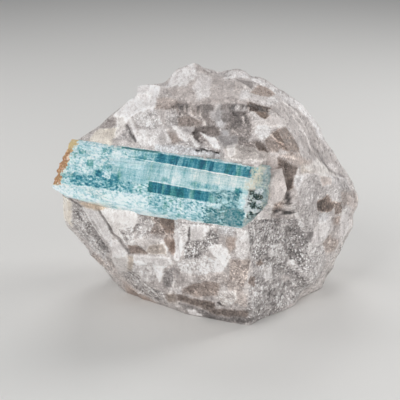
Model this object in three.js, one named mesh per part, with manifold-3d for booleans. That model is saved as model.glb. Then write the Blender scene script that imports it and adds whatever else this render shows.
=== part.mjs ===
// Indicolite tourmaline in quartz: a broken block of milky to smoky quartz about 100 mm wide, with
// one blue-green tourmaline prism lying along its front, more than half sunk in the quartz.
// Millimetres, +Z up. -Y is the front, where the crystal shows, and the block stands on a flat base.
import * as THREE from "three";
import { mergeVertices } from "three/addons/utils/BufferGeometryUtils.js";
import Module from "manifold-3d";

// ---- Driving dimensions -------------------------------------------------------------------------

// Every break in the quartz is placed by its direction and distance from the block's heart.
// Azimuth 0 is the front, 90 the right and 180 the back; elevation 90 is straight up.
const HEART_HEIGHT = 36; // heart of the block above its base
const RAW_BLOCK = 160; // side of the rough cube that the breaks trim, well outside the block
const GAP = 0.3; // clearance all round the crystal in its socket

// The crystal: where its middle lies from the heart, how it is turned, and its size.
const CRYSTAL_MIDDLE = [-13.8, -23.4, 10.8];
const CRYSTAL_TILT = 66; // lean of its front face back from the horizontal, degrees
const CRYSTAL_DIP = 1.95; // fall of its length towards the right, degrees
const CRYSTAL_SWING = -17.9; // swing of its right end towards the front, degrees
const CRYSTAL_ROUGH_LENGTH = 90; // before its two ends are broken off
const STRIA_PITCH = 0.95; // spacing of the lengthwise striae
const STRIA_DEPTH = 0.16; // depth of one stria

// Flat breaks that bound the block: name, azimuth, elevation, distance from the heart.
const FACETS = [
  ["behind crystal", -17, 24, 27.2],
  ["below crystal", -18, -10, 28.9],
  ["lower left front", -22, -19, 29.7],
  ["left under", -42, -32, 34.3],
  ["left under back", -80, -36, 43.0],
  ["left end front", -70, -8, 46.6],
  ["left end back", -100, -2, 46.0],
  ["left tip front", -68, 20, 45.8],
  ["left tip back", -104, 16, 45.5],
  ["left slope", -44, 55, 34.2],
  ["left slope back", -134, 40, 33.5],
  ["peak left", -60, 72, 39.8],
  ["upper band", 0, 62, 35.2],
  ["peak back", -170, 56, 37.5],
  ["crest right", 60, 66, 37.6],
  ["crest right back", 149, 46, 38.0],
  ["right upper", 70, 42, 38.2],
  ["right upper back", 125, 36, 41.0],
  ["right shoulder", 70, 30.5, 38.3],
  ["right shoulder back", 118, 27, 41.5],
  ["right end front", 63, -6, 45.0],
  ["right end back", 104, -6, 50.0],
  ["right lump", 44, 0, 34.5],
  ["right low", 56, -18, 42.6],
  ["right low back", 100, -20, 50.2],
  ["right foot", 54, -32, 44.6],
  ["back", 178, 8, 33.0],
  ["back right", 140, 6, 39.5],
  ["back left low", -140, -14, 38.0],
  ["back lower", -170, -38, 38.0],
  ["base", 0, -90, HEART_HEIGHT],
];

// Stepped recesses. In each, the quartz is gone beyond all of its planes at once:
// the first plane is the floor of the recess and the others are its walls.
const RECESSES = [
  ["smoky window", [-10, 44, 28.8], [0, -20, 0], [160, 48.6, 0]],
  ["grain field", [50, -3, 31.5], [-36.4, -17.3, 0], [-28, 0, 0]],
  ["grain field foot", [50, -3, 31.5], [-58.6, -69, 0], [-28, 0, 0]],
  ["groove past the crystal", [86, 5, 21.6], [-36.4, -17.3, 0], [0, 90, -2]],
  ["smoky recess", [-22, -9, 26.8], [50, 0, 0], [-108, 0, 0], [-20, 65, 0]],
  ["back ledge", [170, 20, 31.5], [120, 60, 0]],
  ["back foot ledge", [-172, -12, 31], [100, -20, 0]],
  ["crest saddle", [100, 68.6, 37.3], [-78, 78.7, 35.9]],
];

// Shell-shaped (conchoidal) breaks: name, azimuth, elevation, distance of the centre, radius.
const SHELLS = [
  ["left shoulder", -95, 44, 88, 48.5],
  ["left scar", -48, -18.6, 91, 57],
  ["right foot shell", 44, -30, 98, 58],
  ["back shell", -165, 30, 85, 54],
  ["back foot shell", 160, -25, 86, 51],
  ["left back shell", -120, 5, 90, 50],
];

// Five-sided chips standing on the block: name, [azimuth, elevation, distance] of the middle of
// the outer face, [azimuth, elevation, roll] that the face looks to, [width, height, depth].
const CHIP_SIDES = 5;
const CHIP_TAPER = 0.72; // size of a chip's outer face against its root
const CHIPS = [
  ["chip by crystal top", [1.2, 43.5, 31.9], [-5, 30, 14], [6, 7, 8]],
  ["long chip", [17.9, 37.6, 34.7], [-12, 28, -8], [12, 6.5, 8]],
  ["end chip", [27, 33, 36.8], [4, 32, -20], [10, 7, 9]],
  ["shoulder past crystal", [36.5, 17.5, 38.4], [18, 22, -24], [9, 20, 10]],
  ["shell tongue", [-33.3, -19.4, 29.4], [-26, -6, 14], [15, 10, 7]],
  ["foot ridge", [-25, -43, 33.4], [-40, -15, 14], [8, 20, 10]],
  ["lump on left slope", [-94, 61, 38.4], [-60, 62, 30], [11, 9, 10]],
  ["lump at back", [165, -8, 33.6], [172, -2, 20], [26, 18, 9]],
  ["lump at back left", [-128, 22, 37.6], [-132, 28, 50], [22, 15, 9]],
];

// The crystal's cross-section, seen from its right end: [across, out] from its middle line.
// The front run is the exposed side, from the top edge down; the sunk run closes it behind.
const FRONT_CORNERS = [
  [10.2, -2.0], [9.3, -0.5], [8.5, 0.0], [5.1, 0.75], [5.0, 1.05], [-1.0, 1.3],
  [-1.2, 0.95], [-4.5, 0.6], [-4.7, 0.8], [-9.0, -0.4], [-10.2, -1.9],
];
const SUNK_CORNERS = [[-9.3, -7.5], [-4.0, -11.5], [4.0, -11.5], [9.3, -7.5]];

// Breaks that end the crystal: [along, across, out] direction and distance from its middle.
const CRYSTAL_ENDS = [
  ["left end", [-1, 0.24, 0.35], 30.2],
  ["left lower corner", [-5, -6.6, 1.5], 22.9],
  ["right end", [0.994, 0.107, 0.8], 26.0],
  ["right lower corner", [0.889, -0.459, 0.5], 25.8],
  ["right end, sunk part", [1, 0, -0.6], 27.2],
];

// ---- Solids from three.js geometries -------------------------------------------------------------

const wasm = await Module();
wasm.setup();

/** A closed geometry, moved by a matrix, as a solid that can be joined and cut. */
function solid(geometry, matrix = new THREE.Matrix4()) {
  const bare = geometry.clone().applyMatrix4(matrix);
  bare.deleteAttribute("normal");
  bare.deleteAttribute("uv");
  const merged = mergeVertices(bare, 1e-4);
  return new wasm.Manifold(new wasm.Mesh({
    numProp: 3,
    vertProperties: new Float32Array(merged.attributes.position.array),
    triVerts: new Uint32Array(merged.index.array),
  }));
}

/** The solid's triangles as a three.js geometry with flat faces. */
function geometryOf(body) {
  const mesh = body.getMesh();
  const geometry = new THREE.BufferGeometry();
  geometry.setAttribute("position", new THREE.BufferAttribute(mesh.vertProperties, 3));
  geometry.setIndex(new THREE.BufferAttribute(mesh.triVerts, 1));
  geometry.computeVertexNormals();
  return geometry;
}

/** Unit vector for an azimuth and elevation in degrees. */
function direction(azimuth, elevation) {
  const a = THREE.MathUtils.degToRad(azimuth);
  const e = THREE.MathUtils.degToRad(elevation);
  return new THREE.Vector3(Math.sin(a) * Math.cos(e), -Math.cos(a) * Math.cos(e), Math.sin(e));
}

/** A big box whose near face is the plane at a distance along a normal, lying beyond it. */
function beyond(normal, distance) {
  const out = normal.clone().normalize();
  const turn = new THREE.Quaternion().setFromUnitVectors(new THREE.Vector3(0, 0, 1), out);
  const middle = out.clone().multiplyScalar(distance + RAW_BLOCK / 2);
  const place = new THREE.Matrix4().compose(middle, turn, new THREE.Vector3(2, 2, 1));
  return solid(new THREE.BoxGeometry(RAW_BLOCK, RAW_BLOCK, RAW_BLOCK), place);
}

/** A stepped recess: what lies beyond all of its planes. */
function recess(planes) {
  const parts = planes.map(([azimuth, elevation, distance]) => (
    beyond(direction(azimuth, elevation), distance)));
  return parts.reduce((common, part) => common.intersect(part));
}

/** The ball that leaves a shell-shaped break, with facets of about 4 mm. */
function shell(azimuth, elevation, distance, radius) {
  const middle = direction(azimuth, elevation).multiplyScalar(distance);
  const place = new THREE.Matrix4().makeTranslation(middle);
  return solid(new THREE.IcosahedronGeometry(radius, Math.round(radius / 3.5)), place);
}

/** A chip that narrows outwards, set by its outer face. */
function chip([azimuth, elevation, distance], [faceAzimuth, faceElevation, roll], size) {
  const [width, height, depth] = size;
  const out = direction(faceAzimuth, faceElevation);
  const level = direction(faceAzimuth + 90, 0);
  const up = new THREE.Vector3().crossVectors(out, level);
  const place = new THREE.Matrix4().makeBasis(level, up, out);
  place.multiply(new THREE.Matrix4().makeRotationZ(THREE.MathUtils.degToRad(roll)));
  place.setPosition(direction(azimuth, elevation).multiplyScalar(distance));
  place.multiply(new THREE.Matrix4().makeTranslation(0, 0, -depth / 2));
  place.multiply(new THREE.Matrix4().makeScale(width / 2, height / 2, 1));
  const stub = new THREE.CylinderGeometry(CHIP_TAPER, 1, depth, CHIP_SIDES);
  return solid(stub.rotateX(Math.PI / 2), place);
}

// ---- The crystal ----------------------------------------------------------------------------------

/** The exposed run of the cross-section with a shallow groove at every stria. */
function striated(corners) {
  const run = [corners[0]];
  for (let i = 1; i < corners.length; i += 1) {
    const [fromAcross, fromOut] = corners[i - 1];
    const [toAcross, toOut] = corners[i];
    const striae = Math.floor(Math.hypot(toAcross - fromAcross, toOut - fromOut) / STRIA_PITCH);
    for (let k = 1; k < 2 * striae; k += 1) {
      const share = k / (2 * striae);
      const across = fromAcross + (toAcross - fromAcross) * share;
      const out = fromOut + (toOut - fromOut) * share;
      run.push([across, k % 2 ? out - STRIA_DEPTH : out]);
    }
    run.push(corners[i]);
  }
  return run;
}

/** The cross-section with every corner moved out by a clearance. */
function grown(corners, clearance) {
  const outline = corners.map(([across, out]) => new THREE.Vector2(across, out));
  return outline.map((corner, i) => {
    const before = outline.at(i - 1);
    const after = outline[(i + 1) % outline.length];
    const along = after.clone().sub(before).normalize();
    return [corner.x + along.y * clearance, corner.y - along.x * clearance];
  });
}

/** A prism of a cross-section along the crystal's length, with both ends broken off. */
function prism(corners, clearance) {
  const outline = new THREE.Shape(corners.map(([across, out]) => new THREE.Vector2(across, out)));
  const rough = new THREE.ExtrudeGeometry(outline, {
    depth: CRYSTAL_ROUGH_LENGTH, bevelEnabled: false, steps: 1,
  });
  rough.translate(0, 0, -CRYSTAL_ROUGH_LENGTH / 2);
  // The extrusion runs along Z; in the crystal's own frame its length is X, across Y and out Z.
  const toLength = new THREE.Matrix4().makeBasis(
    new THREE.Vector3(0, 1, 0), new THREE.Vector3(0, 0, 1), new THREE.Vector3(1, 0, 0));
  let body = solid(rough, toLength);
  for (const [, normal, distance] of CRYSTAL_ENDS) {
    body = body.subtract(beyond(new THREE.Vector3(...normal), distance + clearance));
  }
  return geometryOf(body);
}

const crystalPlace = new THREE.Matrix4().makeRotationFromEuler(new THREE.Euler(
  THREE.MathUtils.degToRad(CRYSTAL_TILT),
  THREE.MathUtils.degToRad(CRYSTAL_DIP),
  THREE.MathUtils.degToRad(CRYSTAL_SWING),
  "ZYX",
)).setPosition(...CRYSTAL_MIDDLE);

const crystal = prism([...striated(FRONT_CORNERS), ...SUNK_CORNERS], 0);
const socket = prism(grown([...FRONT_CORNERS, ...SUNK_CORNERS], GAP), GAP);

// ---- The quartz block -----------------------------------------------------------------------------

let block = solid(new THREE.BoxGeometry(RAW_BLOCK, RAW_BLOCK, RAW_BLOCK));
for (const [, azimuth, elevation, distance] of FACETS) {
  block = block.subtract(beyond(direction(azimuth, elevation), distance));
}
for (const [, ...planes] of RECESSES) {
  block = block.subtract(recess(planes));
}
for (const [, azimuth, elevation, distance, radius] of SHELLS) {
  block = block.subtract(shell(azimuth, elevation, distance, radius));
}
for (const [, place, facing, size] of CHIPS) {
  block = block.add(chip(place, facing, size));
}
block = block.subtract(solid(socket, crystalPlace));

// ---- The specimen ---------------------------------------------------------------------------------

const quartz = new THREE.MeshStandardMaterial({ color: 0xcfc8c2, roughness: 0.55, metalness: 0 });
const indicolite = new THREE.MeshStandardMaterial({ color: 0x4c9fb2, roughness: 0.35, metalness: 0 });

const matrixMesh = new THREE.Mesh(geometryOf(block), quartz);
matrixMesh.name = "quartz_matrix";

const crystalMesh = new THREE.Mesh(crystal, indicolite);
crystalMesh.name = "tourmaline_crystal";
crystalMesh.applyMatrix4(crystalPlace);

const specimen = new THREE.Group();
specimen.add(matrixMesh, crystalMesh);

// The origin is the middle of the specimen's footprint box, at the height of its base.
const box = new THREE.Box3().setFromObject(specimen, true);
const middle = box.getCenter(new THREE.Vector3());
specimen.position.set(-middle.x, -middle.y, -box.min.z);
specimen.updateMatrixWorld(true);

export default specimen;
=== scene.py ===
"""Indicolite tourmaline: one striated blue-green prism lying in a broken block of milky quartz.

The block is about 99 mm wide. It stands on a flat break, with the crystal along its front (-Y).
Sizes are worked out in millimetres, the block's from its heart and the crystal's from its own
middle, and the meshes are made in metres.
"""
import math

import bpy
import numpy as np
from mathutils import Euler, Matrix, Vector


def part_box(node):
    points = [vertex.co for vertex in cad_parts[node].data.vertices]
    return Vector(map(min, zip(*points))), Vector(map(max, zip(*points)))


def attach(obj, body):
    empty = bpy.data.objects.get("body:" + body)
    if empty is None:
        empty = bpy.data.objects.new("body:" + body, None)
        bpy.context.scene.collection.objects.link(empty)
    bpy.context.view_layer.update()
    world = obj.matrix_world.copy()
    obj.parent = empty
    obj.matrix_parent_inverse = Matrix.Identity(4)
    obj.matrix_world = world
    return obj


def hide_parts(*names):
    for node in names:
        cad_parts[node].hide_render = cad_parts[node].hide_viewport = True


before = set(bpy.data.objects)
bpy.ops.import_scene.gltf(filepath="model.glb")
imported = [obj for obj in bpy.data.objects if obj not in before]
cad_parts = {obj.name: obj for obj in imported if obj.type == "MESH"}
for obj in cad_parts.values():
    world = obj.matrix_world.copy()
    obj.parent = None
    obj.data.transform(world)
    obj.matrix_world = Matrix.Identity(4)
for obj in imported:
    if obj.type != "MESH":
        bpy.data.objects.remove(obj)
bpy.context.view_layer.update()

# ==== Quartz block ===============================================================================
# A lump of massive quartz, milky white to pinkish grey with smoky clear patches. It was broken from
# a vein: flat breaks bound it, and steps, shell-shaped scars and small blocky chips mark them.

MM = 0.001
HEART_IN_BLOCK = np.array([48.12, 34.77, 36.0])  # from the block's left side, front and base
block_low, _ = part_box("quartz_matrix")
HEART = np.array(block_low) / MM + HEART_IN_BLOCK
FAR = 90.0  # beyond every part of the block
GRAZING = 0.05  # cosine below which a flat face counts as seen edge-on

# Flat breaks that bound the block: azimuth, elevation, distance from the heart.
BREAKS = [
    (-17, 24, 27.2), (-18, -10, 28.9), (-22, -19, 29.7), (-42, -32, 34.3), (-80, -36, 43.0),
    (-70, -8, 45.4), (-100, -2, 44.8), (-68, 20, 43.6), (-104, 16, 43.2), (-44, 55, 34.2),
    (-134, 40, 33.5), (-60, 72, 39.8), (0, 62, 35.2), (-170, 56, 37.5), (60, 66, 37.6),
    (149, 46, 38.0), (70, 42, 38.2), (125, 36, 41.0), (70, 30.5, 38.3), (118, 27, 41.5),
    (63, -6, 45.0), (104, -6, 50.0), (44, 0, 34.5), (56, -18, 42.6), (100, -20, 50.2),
    (54, -32, 44.6), (178, 8, 33.0), (140, 6, 39.5), (-140, -14, 38.0), (-170, -38, 38.0),
]

# Stepped recesses: the quartz is gone beyond all the planes of one recess at once. Each has the
# width over which its walls slope, then its planes: those at a distance above 0 are its floor, and
# the others its walls.
RECESSES = [
    (0.5, [(-10, 44, 28.8), (0, -20, 0), (160, 48.6, 0)]),  # smoky window above the crystal
    (1.0, [(50, -3, 31.5), (-36.4, -17.3, 0), (-28, 0, 0)]),  # grain field
    (1.0, [(50, -3, 31.5), (-58.6, -69, 0), (-28, 0, 0)]),  # grain field's foot
    (5.0, [(86, 5, 21.6), (-36.4, -17.3, 0), (0, 90, -2)]),  # groove past the crystal
    (0.7, [(-22, -9, 26.8), (50, 0, 0), (-108, 0, 0), (-20, 65, 0)]),  # smoky recess below the crystal
    (0.7, [(170, 20, 31.5), (120, 60, 0)]),  # back ledge
    (0.7, [(-172, -12, 31), (100, -20, 0)]),  # back foot ledge
    (2.0, [(100, 68.6, 37.3), (-78, 78.7, 35.9)]),  # saddle in the crest
]

# Shell-shaped scars: azimuth, elevation and distance of the centre, radius.
SHELLS = [
    (-95, 44, 88, 48.5), (-48, -18.6, 91, 57), (44, -30, 98, 58), (-165, 30, 85, 54),
    (160, -25, 86, 51), (-120, 5, 90, 50),
]

# Five-sided chips: azimuth, elevation and distance of the outer face's middle; azimuth and elevation
# that it faces, and its roll; width, height and depth.
CHIP_SIDES = 5
CHIP_TAPER = 0.72
CHIPS = [
    ((1.2, 43.5, 31.9), (-5, 30, 14), (6, 7, 8)),
    ((17.9, 37.6, 34.7), (-12, 28, -8), (12, 6.5, 8)),
    ((27, 33, 36.8), (4, 32, -20), (10, 7, 9)),
    ((36.5, 17.5, 38.4), (18, 22, -24), (9, 20, 10)),
    ((-33.3, -19.4, 29.4), (-26, -6, 14), (15, 10, 7)),
    ((-25, -43, 33.4), (-40, -15, 14), (8, 20, 10)),
    ((-94, 61, 38.4), (-60, 62, 30), (11, 9, 10)),
    ((165, -8, 33.6), (172, -2, 20), (26, 18, 9)),
    ((-128, 22, 37.6), (-132, 28, 50), (22, 15, 9)),
]


def direction(azimuth, elevation):
    """Unit vector: azimuth 0 looks to the front (-Y) and 90 to the right; elevation 90 is up."""
    turn, rise = math.radians(azimuth), math.radians(elevation)
    level = math.cos(rise)
    return np.array([math.sin(turn) * level, -math.cos(turn) * level, math.sin(rise)])


def unit(vectors):
    """Each row divided by its length."""
    return vectors / np.linalg.norm(vectors, axis=-1, keepdims=True)


def cube_sphere(side, pull):
    """Directions all round the heart, and the quads that join them.

    Each face of a cube carries a side x side grid at equal angles. Points that two faces share are
    made one. The pull vector is added to each direction, which crowds them where it points.
    """
    angle = np.linspace(-math.pi / 4, math.pi / 4, side)
    across, up = np.meshgrid(np.tan(angle), np.tan(angle))
    sheets, quads = [], []
    number = np.arange(side * side).reshape(side, side)
    square = np.stack([number[:-1, :-1], number[:-1, 1:], number[1:, 1:], number[1:, :-1]], -1)
    for axis in range(3):
        for sign in (-1, 1):
            face = np.empty((side, side, 3))
            face[..., axis] = sign
            face[..., (axis + 1) % 3] = across * sign
            face[..., (axis + 2) % 3] = up
            quads.append(square.reshape(-1, 4) + len(sheets) * side * side)
            sheets.append(face.reshape(-1, 3))
    points = unit(np.concatenate(sheets))
    _, first, place = np.unique(
        np.round(points, 6), axis=0, return_index=True, return_inverse=True)
    quads = place.reshape(-1)[np.concatenate(quads)]
    return unit(points[first] + pull), quads


dice = np.random.default_rng(7)
SHUFFLE = np.tile(dice.permutation(256), 3)  # repeated, so that the sum of two numbers finds a place
ARROWS = unit(dice.normal(size=(256, 3)))
CHANCE = dice.random((256, 4))


def cell_number(cell, seed):
    """A number from 0 to 255 for each cell of a cubic lattice: its three places, shuffled in turn."""
    x, y, z = ((cell + seed * 37) & 255).T
    return SHUFFLE[SHUFFLE[SHUFFLE[x] + y] + z]


def waves(points, size, seed=0):
    """Gradient noise: a random slope at every corner of a lattice, blended between the corners.

    The corners are size apart, and 1.6 brings the noise to about -1 to 1.
    """
    at = points / size
    cell = np.floor(at).astype(int)
    inside = at - cell
    ease = inside ** 3 * (inside * (inside * 6 - 15) + 10)
    total = np.zeros(len(points))
    for corner in np.ndindex(2, 2, 2):
        slope = ARROWS[cell_number(cell + corner, seed)]
        weight = np.prod(np.where(corner, ease, 1 - ease), axis=1)
        total += weight * np.sum(slope * (inside - corner), axis=1)
    return total * 1.6


def mottle(points, size, octaves, seed=0):
    """Sum of waves, each half as long and half as high as the one before, from about -1 to 1.

    The sum is divided by the sum of the heights, and 1.3 makes up for waves that cancel out.
    """
    total = sum(waves(points, size / 2 ** k, seed + 5 * k) / 2 ** k for k in range(octaves))
    return total / (2 - 2 ** (1 - octaves)) * 1.3


def flakes(points, size, seed=0, lean=0.55, bend=0.5, spread=0.35):
    """Conchoidal flaking: height in units of size, and what the flake at each point is like.

    Round each jittered lattice point hangs a shallow bowl with its own lean and height. The lowest
    bowl is the surface, so neighbouring bowls meet in sharp ridges. Also given are the flake's
    random share, and how far below the next bowl it lies (0 on a ridge).
    """
    at = points / size
    cell = np.floor(at).astype(int)
    lowest = np.full(len(points), np.inf)
    second = np.full(len(points), np.inf)
    share = np.zeros(len(points))
    for step in np.ndindex(3, 3, 3):
        home = cell + step - np.array([1, 1, 1])
        n = cell_number(home, seed)
        off = at - home - CHANCE[n, :3]
        bowl = (CHANCE[n, 3] - 0.5) * spread + lean * np.sum(ARROWS[n] * off, axis=1)
        bowl = bowl + bend * np.sum(off * off, axis=1)
        nearer = bowl < lowest
        second = np.where(nearer, lowest, np.minimum(second, bowl))
        share = np.where(nearer, CHANCE[n, 0], share)
        lowest = np.where(nearer, bowl, lowest)
    return lowest, share, second - lowest


def soft_min(a, b, width):
    """The smaller of two distances, with the corner between them rounded over a width."""
    mix = np.clip(0.5 + 0.5 * (b - a) / width, 0, 1)
    return b + (a - b) * mix - width * mix * (1 - mix)


def smooth(low, high, value):
    """Eases from 0 at low to 1 at high, along the cubic that is level at both."""
    t = np.clip((value - low) / (high - low), 0, 1)
    return t * t * (3 - 2 * t)


def chip_planes(place, facing, size):
    """Normals and distances of a tapered five-sided chip: its outer face, its root and its sides.

    The chip's middle lies half its depth behind the given place. Each side is the plane through two
    neighbouring corners of the root and one of the smaller outer face.
    """
    azimuth, elevation, roll = facing
    out = direction(azimuth, elevation)
    level = direction(azimuth + 90, 0)
    up = np.cross(out, level)
    turn = math.radians(roll)
    wide = (math.cos(turn) * level + math.sin(turn) * up) * size[0] / 2
    high = (math.cos(turn) * up - math.sin(turn) * level) * size[1] / 2
    deep = out * size[2] / 2
    middle = direction(place[0], place[1]) * place[2] - deep
    planes = [(out, out @ (middle + deep)), (-out, -out @ (middle - deep))]
    turns = 2 * math.pi * np.arange(CHIP_SIDES) / CHIP_SIDES
    for here, after in zip(turns, turns + 2 * math.pi / CHIP_SIDES):
        corner = middle + wide * math.sin(here) + high * math.cos(here) - deep
        next_corner = middle + wide * math.sin(after) + high * math.cos(after) - deep
        top = middle + (wide * math.sin(here) + high * math.cos(here)) * CHIP_TAPER + deep
        normal = unit(np.cross(next_corner - corner, top - corner))
        normal = normal * np.sign(normal @ (corner + next_corner - 2 * middle))
        planes.append((normal, normal @ top))
    return planes


CREASE = 0.7  # rounding of the edges between breaks


def block_reach(rays, sway):
    """Distance from the heart to the block's skin along each ray, before the fine flaking.

    A plane's distance divided by the cosine of its angle with the ray is the reach. The nearest of
    all the flat breaks counts, each swayed by its own noise; then the floors of recesses inside
    their walls; then the shells' near faces; then the far faces of the chips.
    """
    reach = np.full(len(rays), FAR)
    for k, (azimuth, elevation, distance) in enumerate(BREAKS):
        facing = np.maximum(rays @ direction(azimuth, elevation), GRAZING)
        reach = soft_min(reach, (distance + sway(k)) / facing, CREASE)
    for k, (wall, planes) in enumerate(RECESSES):
        floor = np.full(len(rays), -FAR)
        inside = np.ones(len(rays))
        for azimuth, elevation, distance in planes:
            facing = rays @ direction(azimuth, elevation)
            if distance > 0:
                floor = np.maximum(floor, (distance + sway(k + 40)) / np.maximum(facing, GRAZING))
            else:
                past = facing * reach - distance + 1.6 * sway(k + 60)
                inside *= smooth(-wall / 2, wall / 2, past)
        reach = reach + (np.minimum(floor, reach) - reach) * inside
    for azimuth, elevation, distance, radius in SHELLS:
        along = rays @ direction(azimuth, elevation) * distance
        miss = distance ** 2 - along ** 2
        near = along - np.sqrt(np.maximum(radius ** 2 - miss, 0))
        near = np.where((miss < radius ** 2) & (along > 0), near, FAR)
        reach = soft_min(reach, near, CREASE)
    for place, facing, size in CHIPS:
        enter, leave = np.zeros(len(rays)), np.full(len(rays), FAR)
        for normal, distance in chip_planes(place, facing, size):
            toward = rays @ normal
            hit = distance / np.where(np.abs(toward) < 1e-6, 1e-6, toward)
            leave = np.where(toward > 0, np.minimum(leave, hit), leave)
            enter = np.where(toward < 0, np.maximum(enter, hit), enter)
        reach = np.where(enter < leave, np.maximum(reach, leave), reach)
    return reach


FRONT_LEAN = math.radians(20)
FRONT_RIGHT = np.array([1, 0, 0])
FRONT_UP = np.array([0, math.sin(FRONT_LEAN), math.cos(FRONT_LEAN)])
FRONT_OUT = np.array([0, -math.cos(FRONT_LEAN), math.sin(FRONT_LEAN)])

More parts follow.
